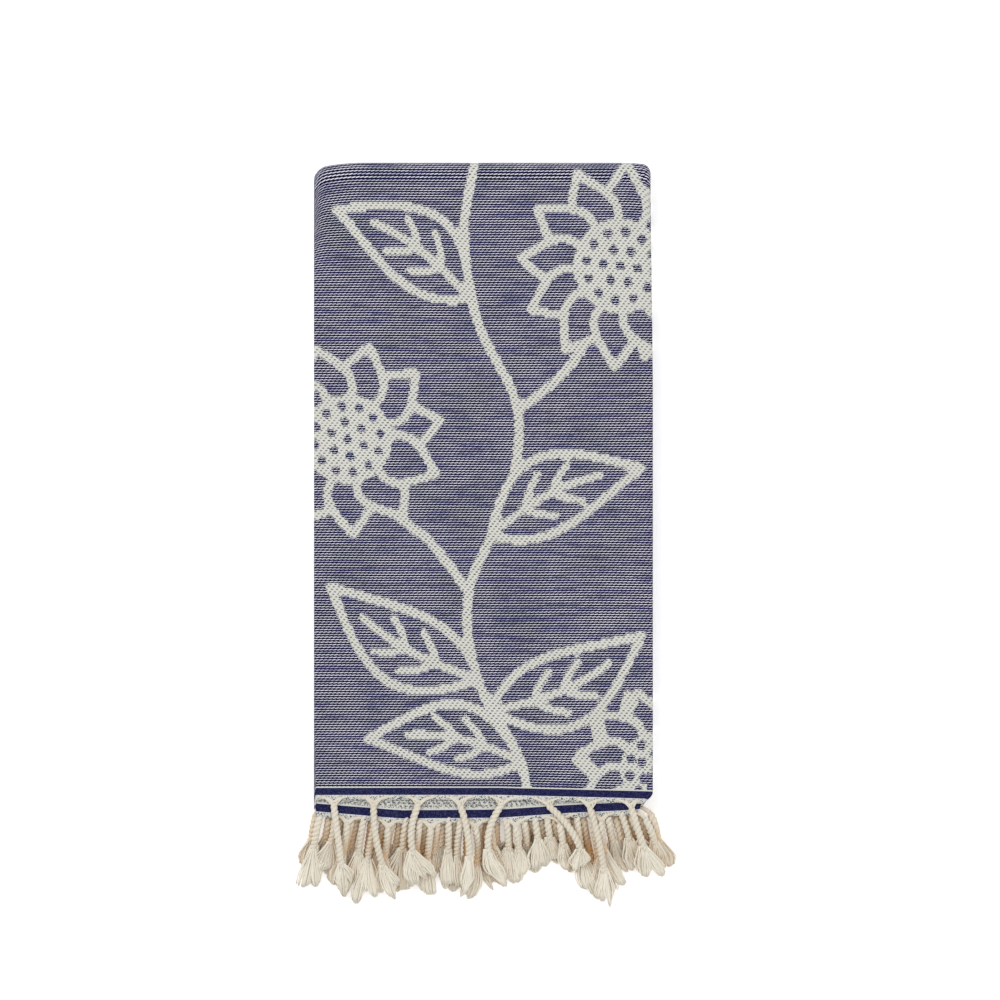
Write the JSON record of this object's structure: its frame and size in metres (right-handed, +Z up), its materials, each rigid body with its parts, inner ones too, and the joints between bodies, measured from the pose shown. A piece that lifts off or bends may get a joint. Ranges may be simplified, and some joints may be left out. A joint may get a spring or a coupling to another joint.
{
  "type": "turkish towel, folded",
  "caption": "Flat-woven cotton bath towel with dark end bands and a knotted, twisted fringe at both ends, folded to a narrow flat rectangle.",
  "frame": {"origin": "on the surface that the towel lies on, under the middle of its whole outline", "axes": "+Z up, +Y towards the top fold and away from the fringe, +X to the right seen from above"},
  "size_m": [0.2564, 0.5166, 0.0259],
  "materials": {
    "weave": "flat two-colour cotton weave of navy and off-white, matte",
    "cotton_yarn": "undyed cream cotton yarn, twisted, with brushed ends, matte"
  },
  "bodies": {
    "root": {"towel_cloth": "weave", "fringe_upper": "cotton_yarn", "fringe_lower": "cotton_yarn"}
  },
  "joints": []
}
